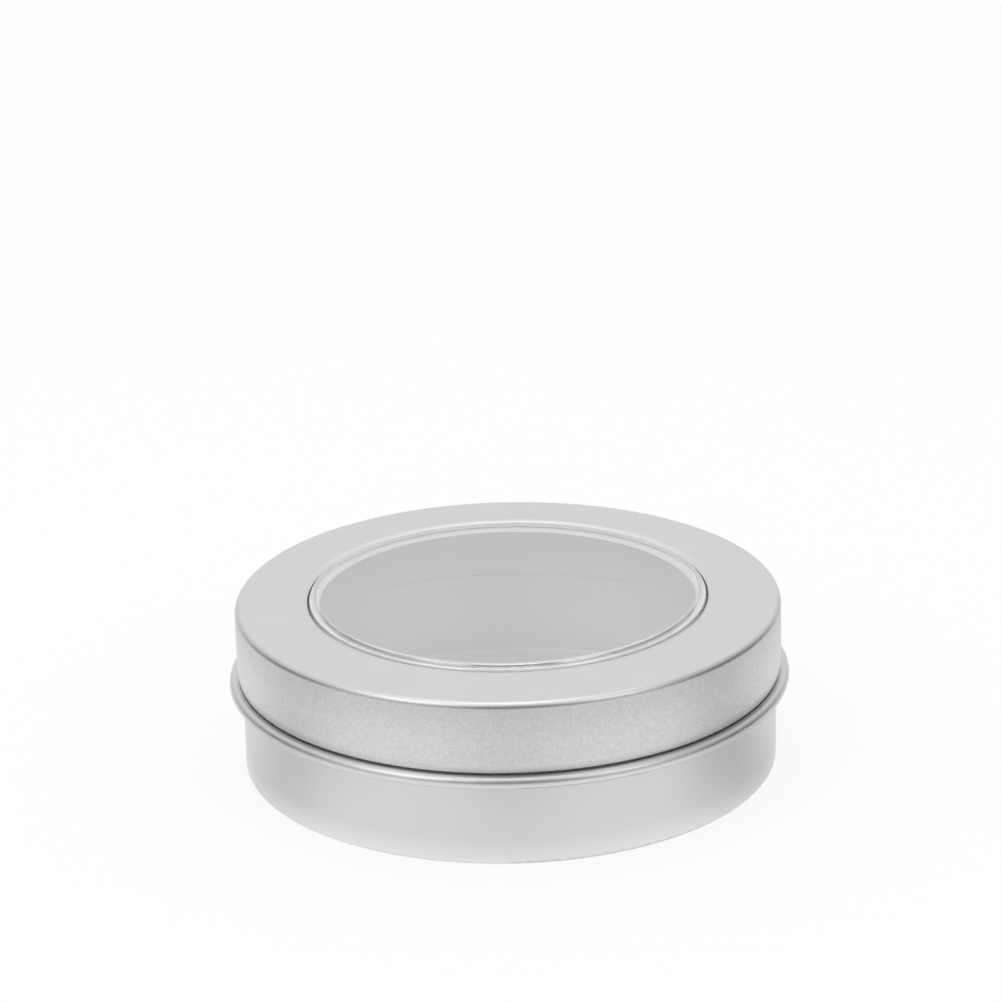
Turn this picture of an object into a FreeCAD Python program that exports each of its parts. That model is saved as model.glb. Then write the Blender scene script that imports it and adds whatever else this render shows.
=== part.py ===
import FreeCAD, Part
import math
import os

# A round slip lid tin with a clear window in its lid, in millimetres.
# The tin's axis is Z, and the origin is on the table at the middle of the tin.
# Every piece is thin sheet, drawn as one bent outline in radius and height and spun round the axis.

# Sheet stock
tinplate = 0.25
film = 0.2

# Base: the wall, the foot that it stands on, and the floor, raised a little inside the foot
wall_radius = 45.25
foot_corner = 0.95
foot_land = 0.95
floor_rise = 1.0
floor_slope_run = 1.2
floor_bend = 1.0

# Base: the rolled bead that the lid comes down on, pinched shut where it leaves the wall
bead_level = 15.2
bead_height = 2.2
bead_reach = 2.25
bead_crevice = 0.25
bead_back_bend = 0.2
fold_gap = 0.03
fold_corner = 0.03

# Folded edges of the base's rim and the lid's skirt, which is turned in a little above its fold
rim_hem_gap = 0.32
rim_hem_leg = 1.2
lid_hem_gap = 0.07
lid_hem_leg = 1.3
edge_turn = 0.25
edge_turn_height = 1.5
edge_turn_bend = 3.0

# Lid: its fit on the base, its height and the ring round its opening
# The ring rises a little inwards, and its inner edge is turned down again
slide_clearance = 0.08
lid_rest_gap = 0.25
lid_height = 12.25
lid_corner = 1.1
lid_ring_width = 12.25
lid_crown = 0.75
lip_run = 0.68
lip_drop = 0.42
lip_bend = 2.0

# Window: a film that stands up through the opening with a flange under the lid, a ledge and a raised pane
seat_gap = 0.03
window_gap = 0.35
flange_width = 5.5
flange_bend = 0.15
ledge_rise = 0.05
ledge_width = 0.95
ledge_bend = 0.3
crease_bend = 0.15
pane_rise = 0.4
pane_run = 0.15
pane_bend = 0.4

# Retaining ring: pressed up into the lid against the window's flange
ring_press_clearance = 0.03
ring_reach = 2.05
ring_drop = 1.75
ring_corner = 0.6
ring_hem_gap = 0.2
ring_hem_leg = 1.6

# The base's rim stops this far below the retaining ring
rim_gap = 0.6

# Levels and radii that follow from the sizes above
rim_hem_width = tinplate + rim_hem_gap + tinplate
lid_hem_width = tinplate + lid_hem_gap + tinplate
bead_top = bead_level + bead_height / 2
bead_bottom = bead_level - bead_height / 2
lid_radius = wall_radius + slide_clearance + lid_hem_width + edge_turn
lid_edge_level = bead_top + lid_rest_gap
lid_top = lid_edge_level + lid_height
opening_radius = lid_radius - lid_ring_width
crest_radius = opening_radius + lip_run
crest_level = lid_top + lid_crown
crown_slope = lid_crown / (lid_radius - crest_radius)
lip_level = crest_level - lip_drop
lip_underside = lip_level - tinplate * lip_run / math.hypot(lip_run, lip_drop)
flange_top = lip_underside - seat_gap
ring_radius = lid_radius - tinplate - ring_press_clearance
ring_inside = opening_radius - ring_reach


def ring_level(radius):
    """The height of the retaining ring's top, which falls outwards as the lid above it does."""
    return flange_top - film - seat_gap - (radius - ring_inside) * crown_slope


ring_bottom = ring_level(ring_radius) - ring_drop
rim_level = ring_bottom - rim_gap

axis = FreeCAD.Vector(0, 0, 1)
centre = FreeCAD.Vector(0, 0, 0)
full_turn = 360


def direction(start, end):
    length = math.hypot(end[0] - start[0], end[1] - start[1])
    return (end[0] - start[0]) / length, (end[1] - start[1]) / length


def inner_side(outline, thickness):
    """The same outline moved to its left by the sheet's thickness, with its bends kept concentric."""
    moved = []
    for index, (radius, height, bend) in enumerate(outline):
        before = outline[max(index - 1, 0)]
        after = outline[min(index + 1, len(outline) - 1)]
        here = (radius, height)
        into = direction(before, here) if index > 0 else direction(here, after)
        out = direction(here, after) if index < len(outline) - 1 else into
        cosine = into[0] * out[0] + into[1] * out[1]
        turn = into[0] * out[1] - into[1] * out[0]
        step = thickness / (1 + cosine)
        new_radius = radius - step * (into[1] + out[1])
        new_height = height + step * (into[0] + out[0])
        new_bend = bend - math.copysign(thickness, turn) if bend > 0 else 0
        moved.append((new_radius, new_height, new_bend))
    return moved


def point(radius, height):
    return FreeCAD.Vector(radius, 0, height)


def bent_edges(outline):
    """Straight runs joined by tangent arcs through (radius, height, bend) points."""
    edges = []
    last = point(*outline[0][:2])
    for before, here, after in zip(outline, outline[1:], outline[2:]):
        into = direction(before, here)
        out = direction(here, after)
        cosine = into[0] * out[0] + into[1] * out[1]
        corner = point(*here[:2])
        into_vector = point(*into)
        out_vector = point(*out)
        half_turn = math.acos(cosine) / 2
        bend = here[2]
        start = corner - into_vector * (bend * math.tan(half_turn))
        end = corner + out_vector * (bend * math.tan(half_turn))
        inward = (out_vector - into_vector).normalize()
        middle = corner + inward * (bend / math.cos(half_turn) - bend)
        if not start.isEqual(last, Part.Precision.confusion()):
            edges.append(Part.LineSegment(last, start).toShape())
        edges.append(Part.Arc(start, middle, end).toShape())
        last = end
    finish = point(*outline[-1][:2])
    edges.append(Part.LineSegment(last, finish).toShape())
    return edges


def spun_sheet(outline, thickness):
    """A sheet whose outer side is the outline, spun round the axis."""
    inner = inner_side(outline, thickness)
    outer_edges = bent_edges(outline)
    inner_edges = bent_edges(inner)
    first_end = Part.LineSegment(point(*outline[0][:2]), point(*inner[0][:2])).toShape()
    last_end = Part.LineSegment(point(*outline[-1][:2]), point(*inner[-1][:2])).toShape()
    loop = Part.Wire(Part.__sortEdges__(outer_edges + inner_edges + [first_end, last_end]))
    return Part.Face(loop).revolve(centre, axis, full_turn)


def base_can():
    floor_foot = wall_radius - foot_corner - foot_land
    floor_edge = floor_foot - floor_slope_run
    bead_tip = wall_radius + bead_reach
    bead_back = wall_radius + bead_crevice
    bead_nose = bead_height / 2
    back_bend = bead_back_bend + tinplate
    fold_bottom = bead_level - fold_gap / 2 - tinplate
    fold_top = bead_level + fold_gap / 2 + tinplate
    rim_inside = wall_radius - rim_hem_width
    rim_hem_bend = rim_hem_width / 2
    outline = [
        (0, floor_rise, 0),
        (floor_edge, floor_rise, floor_bend),
        (floor_foot, 0, floor_bend),
        (wall_radius, 0, foot_corner),
        (wall_radius, fold_bottom, fold_corner),
        (bead_back, fold_bottom, fold_corner),
        (bead_back, bead_bottom, back_bend),
        (bead_tip, bead_bottom, bead_nose),
        (bead_tip, bead_top, bead_nose),
        (bead_back, bead_top, back_bend),
        (bead_back, fold_top, fold_corner),
        (wall_radius, fold_top, fold_corner),
        (wall_radius, rim_level, rim_hem_bend),
        (rim_inside, rim_level, rim_hem_bend),
        (rim_inside, rim_level - rim_hem_leg, 0),
    ]
    return spun_sheet(outline, tinplate)


def lid_shell():
    hem_inside = wall_radius + slide_clearance
    hem_outside = hem_inside + lid_hem_width
    lid_hem_bend = lid_hem_width / 2
    outline = [
        (hem_inside, lid_edge_level + lid_hem_leg, 0),
        (hem_inside, lid_edge_level, lid_hem_bend),
        (hem_outside, lid_edge_level, lid_hem_bend),
        (lid_radius, lid_edge_level + edge_turn_height, edge_turn_bend),
        (lid_radius, lid_top, lid_corner),
        (crest_radius, crest_level, lip_bend),
        (opening_radius, lip_level, 0),
    ]
    return spun_sheet(outline, tinplate)


def window():
    window_radius = opening_radius - window_gap
    ledge_level = crest_level + ledge_rise
    crease_radius = window_radius - ledge_width
    pane_top = ledge_level + pane_rise
    outline = [
        (window_radius + flange_width, flange_top, 0),
        (window_radius, flange_top, flange_bend),
        (window_radius, ledge_level, ledge_bend),
        (crease_radius, ledge_level, crease_bend),
        (crease_radius - pane_run, pane_top, pane_bend),
        (0, pane_top, 0),
    ]
    return spun_sheet(outline, film)


def retaining_ring():
    ring_hem = tinplate + ring_hem_gap + tinplate
    ring_hem_bend = ring_hem / 2 / math.hypot(1, crown_slope)
    leg_end = ring_inside + ring_hem_leg
    outline = [
        (ring_radius, ring_bottom, 0),
        (ring_radius, ring_level(ring_radius), ring_corner),
        (ring_inside, ring_level(ring_inside), ring_hem_bend),
        (ring_inside, ring_level(ring_inside) - ring_hem, ring_hem_bend),
        (leg_end, ring_level(leg_end) - ring_hem, 0),
    ]
    return spun_sheet(outline, tinplate)


pieces = {
    "base_can": base_can(),
    "lid_shell": lid_shell(),
    "window": window(),
    "retaining_ring": retaining_ring(),
}

os.makedirs("parts", exist_ok=True)
for name, shape in pieces.items():
    shape.exportStep(f"parts/{name}.step")
    print(name, "volume", round(shape.Volume, 1), "valid", shape.isValid(), "solids", len(shape.Solids))
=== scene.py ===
import bpy
import math
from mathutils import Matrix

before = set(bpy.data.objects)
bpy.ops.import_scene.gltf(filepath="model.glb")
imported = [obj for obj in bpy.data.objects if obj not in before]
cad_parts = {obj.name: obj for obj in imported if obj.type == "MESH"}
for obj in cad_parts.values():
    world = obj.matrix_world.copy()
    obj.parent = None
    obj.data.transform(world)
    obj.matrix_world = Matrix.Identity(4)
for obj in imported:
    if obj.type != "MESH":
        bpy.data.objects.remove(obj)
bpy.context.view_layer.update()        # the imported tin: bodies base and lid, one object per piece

mm = 0.001
print("frame loaded:", ", ".join(sorted(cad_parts)))


# Colours are written as sRGB hex and turned to linear here
def hexToLinear(hexColour):
    channels = [int(hexColour[i:i + 2], 16) / 255 for i in (0, 2, 4)]
    linear = [c / 12.92 if c <= 0.04045 else ((c + 0.055) / 1.055) ** 2.4 for c in channels]
    return (*linear, 1.0)


# Settings go to the input of that name or number, or else to the node's own property
def addNode(tree, kind, settings=None, links=None):
    node = tree.nodes.new(kind)
    for name, value in (settings or {}).items():
        if isinstance(name, int) or name in node.inputs:
            node.inputs[name].default_value = value
        else:
            setattr(node, name, value)
    for name, socket in (links or {}).items():
        tree.links.new(socket, node.inputs[name])
    return node


def newMaterial(name):
    material = bpy.data.materials.new(name)
    material.use_nodes = True
    material.node_tree.nodes.clear()
    return material, material.node_tree


def dressNode(nodeName, material):
    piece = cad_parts[nodeName]
    piece.data.materials.clear()
    piece.data.materials.append(material)


# A bend's own normals hold over its middle, under it or on both sides
bendSpan = 5 * mm
overBend = (0, bendSpan)
underBend = (-bendSpan, 0)
wholeBend = (-bendSpan, bendSpan)
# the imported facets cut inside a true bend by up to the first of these
bendSlack = {"inside": 0.13 * mm, "outside": 0.02 * mm}
# limits on the upright part of the normal that take in every way a sheet can face
anyFacing = (-1.0, 1.0)

# Satin tinplate: rolled steel sheet with a matt tin coat, pressed to shape
# The eye sees pale neutral grey, soft reflections and a fine frosted grain
lidFinish = {
    "name": "satinTinplateLid",
    "colour": "DADADA",
    "paleColour": "E0E0E0",
    "roughness": 0.43,
    "roughnessSpread": 0.08,
    "grain": 0.55 * mm,
    "grainDetail": 3.0,
    "grainRoughness": 0.6,
    "grainHeight": 0.01 * mm,
    "cloud": 9 * mm,
    "cloudDetail": 4.0,
    "speckle": 0.42,
    # the painted shading of the fade and the specks start where the sheet is this steep and are full where
    # it is nearly upright
    "steepness": (0.6, 0.2),
    # painted shade: the lid's skirt is painted darker up towards its top
    "fade": {"from": 22 * mm, "to": 27.5 * mm, "colour": "D3D3D3"},
    "bends": [{"middle": (45.05 * mm, 27.769 * mm), "radius": 1.1 * mm, "up": overBend}],
    # a zone has its own colour between two radii and two heights, where the sheet faces the right way
    # on the far side the rim of the opening is painted pale as a painted highlight, and its cut end is
    # painted white as painted light that lifts its shade
    "zones": [
        {"radius": (33.8 * mm, 34.9 * mm), "height": (28.8 * mm, 29.6 * mm), "facing": (0.5, 1.0),
         "fades": [(5 * mm, 22 * mm)], "colour": "E6E6E6", "metallic": 1.0},
        # painted light: the cut end of the opening is white, lifting its shade
        {"radius": (33.7 * mm, 34.2 * mm), "height": (28.7 * mm, 29.3 * mm), "facing": (-0.7, 0.2),
         "colour": "FFFFFF", "metallic": 0.2},
    ],
}
# the base is paler inside, where it is lacquered, right into the bead's groove; outside, its fade is
# painted light that makes the foot paler
baseFinish = dict(lidFinish, name="satinTinplateBase", grainHeight=0.0043 * mm, speckle=0.0, fade={
    "from": 4.5 * mm, "to": 0.8 * mm, "colour": "EAEAEA",
}, bends=[
    {"middle": (44.3 * mm, 0.95 * mm), "radius": 0.95 * mm, "up": underBend},
    {"middle": (46.4 * mm, 15.2 * mm), "radius": 1.1 * mm, "up": wholeBend},
], zones=[
    {"radius": (0, 45.12 * mm), "height": (0.1 * mm, 30 * mm), "facing": (-0.5, 1.0),
     "colour": "FFFFFF", "metallic": 0.55},
    # in the bead's groove the inside is also fully matt, partly lacquer and partly painted light that lifts
    # the crease's shade
    {"radius": (44.9 * mm, 47.2 * mm), "height": (14.85 * mm, 15.55 * mm), "facing": anyFacing,
     "colour": "FFFFFF", "metallic": 0.0},
])
# painted shade darkens the crevice round the window along the sides, less in the middle of the front
paintedCreviceShadeFades = [(18 * mm, 3 * mm), (-33.2 * mm, -29 * mm)]
# the ring is pale under the pane, and painted near black in the crevice as painted shade
ringFinish = dict(lidFinish, name="satinTinplateRing", grainHeight=0.0025 * mm, speckle=0.0,
                  bends=[], zones=[
    {"radius": (31.5 * mm, 33.6 * mm), "height": (27 * mm, 29 * mm), "facing": (0.0, 1.0),
     "colour": "F6F6F6", "metallic": 0.3},
    # painted shade in the crevice round the window
    {"radius": (33.6 * mm, 36 * mm), "height": (27 * mm, 29 * mm), "facing": (0.5, 1.0),
     "fades": paintedCreviceShadeFades, "colour": "202020", "metallic": 0.0},
])


def inRange(tree, value, limits):
    low, high = limits
    test = addNode(tree, "ShaderNodeMath",
                   {"operation": "COMPARE", 1: (low + high) / 2, 2: (high - low) / 2}, {0: value})
    return test.outputs["Value"]


# The way out from the tin's axis, its length and the coordinates one by one
def roundPlace(tree, place):
    flat = addNode(tree, "ShaderNodeVectorMath", {"operation": "MULTIPLY", 1: (1, 1, 0)},
                   {0: place.outputs["Object"]})
    radius = addNode(tree, "ShaderNodeVectorMath", {"operation": "LENGTH"}, {0: flat.outputs["Vector"]})
    axes = addNode(tree, "ShaderNodeSeparateXYZ", None, {"Vector": place.outputs["Object"]})
    return flat, radius, axes


# One inside the zone and nought elsewhere, and some zones fade out from front to back
def zoneMask(tree, place, zone):
    _, radius, axes = roundPlace(tree, place)
    facing = addNode(tree, "ShaderNodeSeparateXYZ", None, {"Vector": place.outputs["Normal"]})
    tests = [inRange(tree, axes.outputs["Z"], zone["height"])]
    tests.append(inRange(tree, facing.outputs["Z"], zone["facing"]))
    for none, full in zone.get("fades", []):
        fade = addNode(tree, "ShaderNodeMapRange",
                       {"interpolation_type": "SMOOTHSTEP", "From Min": none, "From Max": full},
                       {"Value": axes.outputs["Y"]})
        tests.append(fade.outputs["Result"])
    mask = inRange(tree, radius.outputs["Value"], zone["radius"])
    for test in tests:
        both = addNode(tree, "ShaderNodeMath", {"operation": "MULTIPLY"}, {0: mask, 1: test})
        mask = both.outputs["Value"]
    return mask


# The facets lean a little this way and that, which breaks up the highlights
# so the lean sideways is taken out, and on a bend the normal comes straight from the bend's middle
def roundNormal(tree, place, bends):
    normal = place.outputs["Normal"]
    flat, radius, axes = roundPlace(tree, place)
    outward = addNode(tree, "ShaderNodeVectorMath", {"operation": "NORMALIZE"},
                      {0: flat.outputs["Vector"]})
    side = addNode(tree, "ShaderNodeVectorMath", {"operation": "CROSS_PRODUCT", 0: (0, 0, 1)},
                   {1: outward.outputs["Vector"]})
    lean = addNode(tree, "ShaderNodeVectorMath", {"operation": "DOT_PRODUCT"},
                   {0: normal, 1: side.outputs["Vector"]})
    lean = addNode(tree, "ShaderNodeVectorMath", {"operation": "SCALE"},
                   {0: side.outputs["Vector"], "Scale": lean.outputs["Value"]})
    smooth = addNode(tree, "ShaderNodeVectorMath", {"operation": "SUBTRACT"},
                     {0: normal, 1: lean.outputs["Vector"]}).outputs["Vector"]
    behind = addNode(tree, "ShaderNodeVectorMath", {"operation": "SCALE", "Scale": -1.0}, {0: normal})
    for bend in bends:
        across = addNode(tree, "ShaderNodeMath", {"operation": "SUBTRACT", 1: bend["middle"][0]},
                         {0: radius.outputs["Value"]})
        up = addNode(tree, "ShaderNodeMath", {"operation": "SUBTRACT", 1: bend["middle"][1]},
                     {0: axes.outputs["Z"]})
        level = addNode(tree, "ShaderNodeVectorMath", {"operation": "SCALE"},
                        {0: outward.outputs["Vector"], "Scale": across.outputs["Value"]})
        rise = addNode(tree, "ShaderNodeCombineXYZ", None, {"Z": up.outputs["Value"]})
        arm = addNode(tree, "ShaderNodeVectorMath", {"operation": "ADD"},
                      {0: level.outputs["Vector"], 1: rise.outputs["Vector"]})
        reach = addNode(tree, "ShaderNodeVectorMath", {"operation": "LENGTH"},
                        {0: arm.outputs["Vector"]})
        # on the back of the sheet it points the other way
        arm = addNode(tree, "ShaderNodeVectorMath", {"operation": "FACEFORWARD"},
                      {0: arm.outputs["Vector"], 1: behind.outputs["Vector"], 2: arm.outputs["Vector"]})
        mask = inRange(tree, reach.outputs["Value"],
                       (bend["radius"] - bendSlack["inside"], bend["radius"] + bendSlack["outside"]))
        for value, limits in ((across, (0, bendSpan)), (up, bend["up"])):
            both = addNode(tree, "ShaderNodeMath", {"operation": "MULTIPLY"},
                           {0: mask, 1: inRange(tree, value.outputs["Value"], limits)})
            mask = both.outputs["Value"]
        smooth = addNode(tree, "ShaderNodeMix", {"data_type": "VECTOR"},
                         {"Factor": mask, 4: smooth, 5: arm.outputs["Vector"]}).outputs[1]
    smooth = addNode(tree, "ShaderNodeVectorMath", {"operation": "NORMALIZE"}, {0: smooth})
    return smooth.outputs["Vector"]


def satinTinplate(look):
    material, tree = newMaterial(look["name"])
    place = addNode(tree, "ShaderNodeTexCoord")
    grain = addNode(tree, "ShaderNodeTexNoise",
                    {"Scale": 1 / look["grain"], "Detail": look["grainDetail"],
                     "Roughness": look["grainRoughness"]}, {"Vector": place.outputs["Object"]})
    cloud = addNode(tree, "ShaderNodeTexNoise",
                    {"Scale": 1 / look["cloud"], "Detail": look["cloudDetail"]},
                    {"Vector": place.outputs["Object"]})
    colour = addNode(tree, "ShaderNodeMix", {"data_type": "RGBA", 6: hexToLinear(look["colour"]),
                                             7: hexToLinear(look["paleColour"])},
                     {"Factor": cloud.outputs["Fac"]})
    rough = addNode(tree, "ShaderNodeMapRange",
                    {"To Min": look["roughness"] - look["roughnessSpread"] / 2,
                     "To Max": look["roughness"] + look["roughnessSpread"] / 2},
                    {"Value": grain.outputs["Fac"]})
    bump = addNode(tree, "ShaderNodeBump", {"Distance": look["grainHeight"]},
                   {"Height": grain.outputs["Fac"], "Normal": roundNormal(tree, place, look["bends"])})
    metal = addNode(tree, "ShaderNodeBsdfPrincipled", {"Metallic": 1.0},
                    {"Roughness": rough.outputs["Result"], "Normal": bump.outputs["Normal"]})
    # painted shade makes the lid's skirt a little darker up towards its top, and painted light makes the
    # foot of the base paler
    axes = addNode(tree, "ShaderNodeSeparateXYZ", None, {"Vector": place.outputs["Object"]})
    slope = addNode(tree, "ShaderNodeSeparateXYZ", None, {"Vector": place.outputs["Normal"]})
    slope = addNode(tree, "ShaderNodeMath", {"operation": "ABSOLUTE"}, {0: slope.outputs["Z"]})
    steep = addNode(tree, "ShaderNodeMapRange",
                    {"From Min": look["steepness"][0], "From Max": look["steepness"][1]},
                    {"Value": slope.outputs["Value"]})
    fade = addNode(tree, "ShaderNodeMapRange",
                   {"From Min": look["fade"]["from"], "From Max": look["fade"]["to"]},
                   {"Value": axes.outputs["Z"], "To Max": steep.outputs["Result"]})
    paintedShadingFaded = addNode(tree, "ShaderNodeMix", {"data_type": "RGBA", 7: hexToLinear(look["fade"]["colour"])},
                    {"Factor": fade.outputs["Result"], 6: colour.outputs[2]})
    # the grain shows as fine specks on the lid's drawn skirt
    middleGrain = 0.5
    speck = addNode(tree, "ShaderNodeMath", {"operation": "SUBTRACT", 1: middleGrain},
                    {0: grain.outputs["Fac"]})
    speck = addNode(tree, "ShaderNodeMath", {"operation": "MULTIPLY"},
                    {0: speck.outputs["Value"], 1: steep.outputs["Result"]})
    speck = addNode(tree, "ShaderNodeMath", {"operation": "MULTIPLY_ADD", 1: look["speckle"], 2: 1.0},
                    {0: speck.outputs["Value"]})
    specked = addNode(tree, "ShaderNodeVectorMath", {"operation": "SCALE"},
                      {0: paintedShadingFaded.outputs[2], "Scale": speck.outputs["Value"]})
    shade = specked.outputs["Vector"]
    metalSoFar = {}
    for zone in look["zones"]:
        mask = zoneMask(tree, place, zone)
        zoned = addNode(tree, "ShaderNodeMix", {"data_type": "RGBA", 7: hexToLinear(zone["colour"])},
                        {"Factor": mask, 6: shade})
        shade = zoned.outputs[2]
        metallic = addNode(tree, "ShaderNodeMath", {"operation": "MULTIPLY_ADD", "use_clamp": True,
                                                    1: zone["metallic"] - 1, 2: 1.0},
                           {0: mask, **metalSoFar})
        metalSoFar = {2: metallic.outputs["Value"]}
        tree.links.new(metallic.outputs["Value"], metal.inputs["Metallic"])
    tree.links.new(shade, metal.inputs["Base Color"])
    addNode(tree, "ShaderNodeOutputMaterial", None, {"Surface": metal.outputs["BSDF"]})
    return material


# Clear PET film, thermoformed: glossy, colourless, a little wavy
# The eye sees the room mirrored in it over the inside of the tin, white haze where it was stretched,
# painted light on the far side of its foot, a painted highlight on the front of its top bend and painted
# shade in the crevice at its foot
filmFinish = {
    "name": "clearPetFilm",
    "colour": "FCFCFC",
    "roughness": 0.03,
    "mirrorShare": 0.28,
    "mirrorPower": 5.0,
    "wave": 14 * mm,
    "waveDetail": 1.0,
    "waveHeight": 0.02 * mm,
    "bends": [
        {"middle": (33.25 * mm, 29.3 * mm), "radius": 0.3 * mm, "up": overBend},
        {"middle": (32.173 * mm, 29.6 * mm), "radius": 0.4 * mm, "up": overBend},
    ],
    "hazesAndPaintedLight": [
        {"radius": (33.2 * mm, 33.6 * mm), "height": (28.55 * mm, 31 * mm), "facing": anyFacing,
         "colour": "FAFAFA", "share": 0.5, "dull": 0.0},
        # painted light: the far side of the film's foot is whiter, lifting its shade
        {"radius": (33.2 * mm, 33.9 * mm), "height": (28.55 * mm, 29.0 * mm), "facing": anyFacing,
         "fades": [(5 * mm, 22 * mm)], "colour": "FAFAFA", "share": 0.6, "dull": 0.8},
        {"radius": (31.9 * mm, 32.3 * mm), "height": (29.0 * mm, 31 * mm), "facing": anyFacing,
         "colour": "FAFAFA", "share": 0.1, "dull": 0.0},
        # painted highlight: the front of the top bend is whiter
        {"radius": (31.9 * mm, 32.3 * mm), "height": (29.0 * mm, 31 * mm), "facing": anyFacing,
         "fades": [(-17 * mm, -25 * mm)], "colour": "FAFAFA", "share": 0.4, "dull": 0.0},
        # painted shade: the crevice at the film's foot is near black
        {"radius": (33.6 * mm, 34.5 * mm), "height": (28.5 * mm, 28.95 * mm), "facing": anyFacing,
         "fades": paintedCreviceShadeFades, "colour": "080808", "share": 1.0, "dull": 0.6},
    ],
}


def clearFilm(look):
    material, tree = newMaterial(look["name"])
    place = addNode(tree, "ShaderNodeTexCoord")
    wave = addNode(tree, "ShaderNodeTexNoise",
                   {"Scale": 1 / look["wave"], "Detail": look["waveDetail"]},
                   {"Vector": place.outputs["Object"]})
    bump = addNode(tree, "ShaderNodeBump", {"Distance": look["waveHeight"]},
                   {"Height": wave.outputs["Fac"], "Normal": roundNormal(tree, place, look["bends"])})
    # the sheet is too thin to bend the view, so it is clear with a mirror that grows at low angles
    facing = addNode(tree, "ShaderNodeLayerWeight")
    steep = addNode(tree, "ShaderNodeMath", {"operation": "POWER", 1: look["mirrorPower"]},
                    {0: facing.outputs["Facing"]})
    mirror = addNode(tree, "ShaderNodeMapRange", {"To Min": look["mirrorShare"], "To Max": 1.0},
                     {"Value": steep.outputs["Value"]})
    clear = addNode(tree, "ShaderNodeBsdfTransparent", {"Color": hexToLinear(look["colour"])})
    gloss = addNode(tree, "ShaderNodeBsdfGlossy", {"Roughness": look["roughness"]},
                    {"Normal": bump.outputs["Normal"]})
    body = clear.outputs["BSDF"]
    mirror = mirror.outputs["Result"]
    for zone in look["hazesAndPaintedLight"]:
        mask = zoneMask(tree, place, zone)
        share = addNode(tree, "ShaderNodeMath", {"operation": "MULTIPLY", 1: zone["share"]}, {0: mask})
        # where the surface is dull the mirror loses this share
        dull = addNode(tree, "ShaderNodeMath", {"operation": "MULTIPLY_ADD", 1: -zone["dull"], 2: 1.0},
                       {0: mask})
        mirror = addNode(tree, "ShaderNodeMath", {"operation": "MULTIPLY"},
                         {0: mirror, 1: dull.outputs["Value"]}).outputs["Value"]
        hazeAndPaintedLight = addNode(tree, "ShaderNodeBsdfDiffuse", {"Color": hexToLinear(zone["colour"])})
        mix = addNode(tree, "ShaderNodeMixShader", None,
                      {0: share.outputs["Value"], 1: body, 2: hazeAndPaintedLight.outputs["BSDF"]})
        body = mix.outputs["Shader"]
    film = addNode(tree, "ShaderNodeMixShader", None,
                   {0: mirror, 1: body, 2: gloss.outputs["BSDF"]})
    # lamps shine through the film, so the inside of the tin is lit
    rays = addNode(tree, "ShaderNodeLightPath")
    throughFilm = addNode(tree, "ShaderNodeMath", {"operation": "MAXIMUM"},
                          {0: rays.outputs["Is Shadow Ray"], 1: rays.outputs["Is Diffuse Ray"]})
    lit = addNode(tree, "ShaderNodeMixShader", None,
                  {0: throughFilm.outputs["Value"], 1: film.outputs["Shader"], 2: clear.outputs["BSDF"]})
    addNode(tree, "ShaderNodeOutputMaterial", None, {"Surface": lit.outputs["Shader"]})
    return material


dressNode("lid_shell", satinTinplate(lidFinish))
dressNode("base_can", satinTinplate(baseFinish))
dressNode("retaining_ring", satinTinplate(ringFinish))
dressNode("window", clearFilm(filmFinish))
print("finishes set")


# Pale floor, which runs to the edge of the picture
# part of its white is given to camera, glossy and transmitted rays, the rest is lit and takes the shadow
stageSetup = {
    "colour": "F4F4F4",
    "whiteShare": 0.85,
    "glossyShare": 0.9,
    "floorRadius": 3.0,
    "floorSides": 96,
}
# soft shade on the floor beside the tin, which only reflections show
floorShades = [
    {"centre": (-72 * mm, -20 * mm), "reach": (50 * mm, 34 * mm), "depth": 0.38},
    {"centre": (72 * mm, -22 * mm), "reach": (50 * mm, 34 * mm), "depth": 0.52},
    {"centre": (0, -90 * mm), "reach": (28 * mm, 48 * mm), "depth": 0.18},
]


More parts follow.
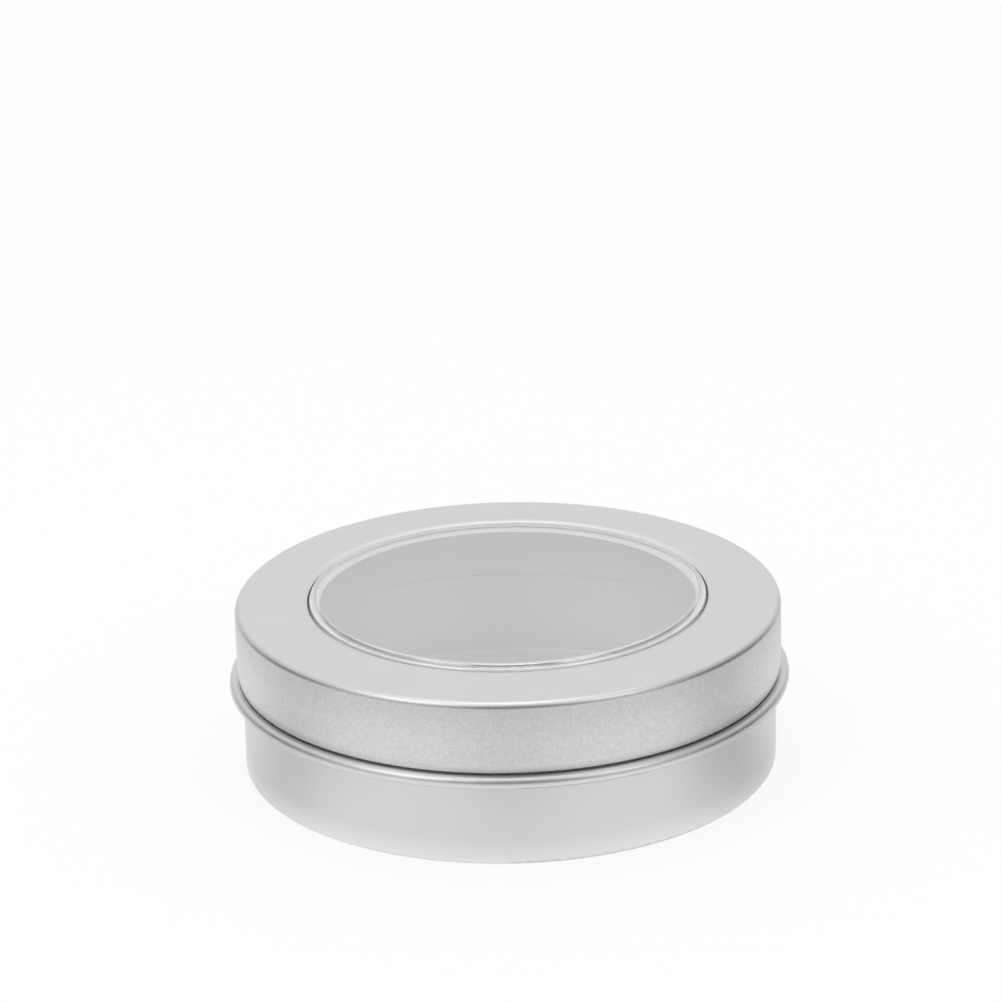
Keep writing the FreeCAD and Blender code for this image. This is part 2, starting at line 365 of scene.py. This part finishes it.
def stageWhite(look):
    material, tree = newMaterial("stageWhite")
    lit = addNode(tree, "ShaderNodeBsdfDiffuse", {"Color": hexToLinear(look["colour"])})
    rays = addNode(tree, "ShaderNodeLightPath")
    place = addNode(tree, "ShaderNodeTexCoord")
    light = addNode(tree, "ShaderNodeValue")
    light.outputs[0].default_value = 1.0
    for shade in floorShades:
        across = [1 / reach for reach in shade["reach"]]
        spot = addNode(tree, "ShaderNodeVectorMath", {"operation": "SUBTRACT", 1: (*shade["centre"], 0)},
                       {0: place.outputs["Object"]})
        spot = addNode(tree, "ShaderNodeVectorMath", {"operation": "MULTIPLY", 1: (*across, 0)},
                       {0: spot.outputs["Vector"]})
        spot = addNode(tree, "ShaderNodeVectorMath", {"operation": "LENGTH"}, {0: spot.outputs["Vector"]})
        spot = addNode(tree, "ShaderNodeMapRange",
                       {"interpolation_type": "SMOOTHSTEP", "To Min": shade["depth"], "To Max": 0.0},
                       {"Value": spot.outputs["Value"]})
        spot = addNode(tree, "ShaderNodeMath", {"operation": "MULTIPLY"},
                       {0: spot.outputs["Result"], 1: rays.outputs["Is Glossy Ray"]})
        light = addNode(tree, "ShaderNodeMath", {"operation": "SUBTRACT"},
                        {0: light.outputs[0], 1: spot.outputs[0]})
    white = addNode(tree, "ShaderNodeEmission", {"Strength": 1.0}, {"Color": light.outputs[0]})
    seen = addNode(tree, "ShaderNodeMath", {"operation": "MAXIMUM"},
                   {0: rays.outputs["Is Camera Ray"], 1: rays.outputs["Is Transmission Ray"]})
    seen = addNode(tree, "ShaderNodeMath", {"operation": "MULTIPLY", 1: look["whiteShare"]},
                   {0: seen.outputs[0]})
    share = addNode(tree, "ShaderNodeMath", {"operation": "MULTIPLY_ADD", 1: look["glossyShare"]},
                    {0: rays.outputs["Is Glossy Ray"], 2: seen.outputs[0]})
    mix = addNode(tree, "ShaderNodeMixShader", None,
                  {0: share.outputs[0], 1: lit.outputs["BSDF"], 2: white.outputs["Emission"]})
    addNode(tree, "ShaderNodeOutputMaterial", None, {"Surface": mix.outputs["Shader"]})
    return material


white = stageWhite(stageSetup)
bpy.ops.object.select_all(action="DESELECT")
bpy.ops.mesh.primitive_circle_add(vertices=stageSetup["floorSides"], radius=stageSetup["floorRadius"],
                                  fill_type="NGON")
floor = bpy.context.object
floor.name = "floor"
floor.data.materials.append(white)

# Grey flags that only the metal sees, so that its bends have dark lines beside the bright ones
# azimuth 0 is the camera's side, and positive turns to the right
flags = [
    {"name": "frontFlag", "azimuth": 3, "distance": 0.25, "width": 0.24, "height": 0.29, "grey": "505050"},
    {"name": "leftFlag", "azimuth": -88, "distance": 0.20, "width": 0.13, "height": 0.10, "grey": "404040"},
    {"name": "rightFlag", "azimuth": 86, "distance": 0.20, "width": 0.14, "height": 0.11, "grey": "303030"},
    {"name": "leftWall", "azimuth": -104, "distance": 0.60,
     "width": 1.00, "height": 0.60, "grey": "D4D4D4"},
    {"name": "rightWall", "azimuth": 98, "distance": 0.60,
     "width": 1.00, "height": 0.90, "grey": "C4C4C4"},
]
# a low dark line where the table ends
tableEnd = {"name": "tableEnd", "distance": 0.25, "width": 0.16, "height": 0.045, "grey": "686868"}
tableEndAzimuths = (-108, -66, -36, 36, 64, 108)
flags += [dict(tableEnd, azimuth=azimuth) for azimuth in tableEndAzimuths]
for flag in flags:
    azimuth = math.radians(flag["azimuth"])
    bpy.ops.mesh.primitive_plane_add(size=1, rotation=(math.pi / 2, 0, azimuth), location=(
        flag["distance"] * math.sin(azimuth), -flag["distance"] * math.cos(azimuth), flag["height"] / 2))
    card = bpy.context.object
    card.name = flag["name"]
    card.scale = (flag["width"], flag["height"], 1)
    grey, tree = newMaterial(flag["name"] + "Grey")
    glow = addNode(tree, "ShaderNodeEmission", {"Color": hexToLinear(flag["grey"])})
    addNode(tree, "ShaderNodeOutputMaterial", None, {"Surface": glow.outputs["Emission"]})
    card.data.materials.append(grey)
    card.visible_camera = False
    card.visible_diffuse = False
    card.visible_transmission = False
    card.visible_shadow = False
print("stage set")


# Soft studio light: a box overhead, two softboxes in front, a pale room
worldSetup = {"colour": "FFFFFF", "strength": 0.89}
softboxes = [
    {"name": "overhead", "radiance": 2.0, "size": (0.30, 0.45),
     "azimuth": 180, "elevation": 86, "distance": 1.0},
    {"name": "frontLeft", "radiance": 1.75, "size": (0.5, 0.5),
     "azimuth": -47, "elevation": 47, "distance": 1.1},
    {"name": "frontRight", "radiance": 1.35, "size": (0.40, 0.45),
     "azimuth": 46, "elevation": 41, "distance": 1.1},
]

world = bpy.data.worlds.new("room")
bpy.context.scene.world = world
world.use_nodes = True
world.node_tree.nodes["Background"].inputs["Color"].default_value = hexToLinear(worldSetup["colour"])
world.node_tree.nodes["Background"].inputs["Strength"].default_value = worldSetup["strength"]

for box in softboxes:
    azimuth = math.radians(box["azimuth"])
    elevation = math.radians(box["elevation"])
    bpy.ops.object.light_add(type="AREA")
    lamp = bpy.context.object
    lamp.name = box["name"]
    lamp.data.shape = "RECTANGLE"
    lamp.data.size, lamp.data.size_y = box["size"]
    lamp.data.energy = box["radiance"] * math.pi * box["size"][0] * box["size"][1]
    lamp.location = (box["distance"] * math.cos(elevation) * math.sin(azimuth),
                     -box["distance"] * math.cos(elevation) * math.cos(azimuth),
                     box["distance"] * math.sin(elevation))
    lamp.rotation_euler = (math.pi / 2 - elevation, 0, azimuth)
print("lights set")


# Camera at the photo's viewing angle
cameraSetup = {
    "lens": 167.64,
    "distance": 794.2 * mm,
    "height": 14.89 * mm,
    "elevation": 22.733,
    "pitch": 2.111,
    "yaw": 0.055,
    "roll": -1.297,
}
bpy.ops.object.camera_add()
camera = bpy.context.object
camera.name = "photoCamera"
camera.data.lens = cameraSetup["lens"]
tilt = math.radians(cameraSetup["elevation"])
camera.location = (0, -cameraSetup["distance"] * math.cos(tilt),
                   cameraSetup["height"] + cameraSetup["distance"] * math.sin(tilt))
camera.rotation_mode = "ZYX"
camera.rotation_euler = [math.radians(angle) for angle in (
    90 - cameraSetup["elevation"] + cameraSetup["pitch"], cameraSetup["yaw"], cameraSetup["roll"])]
bpy.context.scene.camera = camera
bpy.context.scene.view_settings.view_transform = "Standard"
print("camera set")
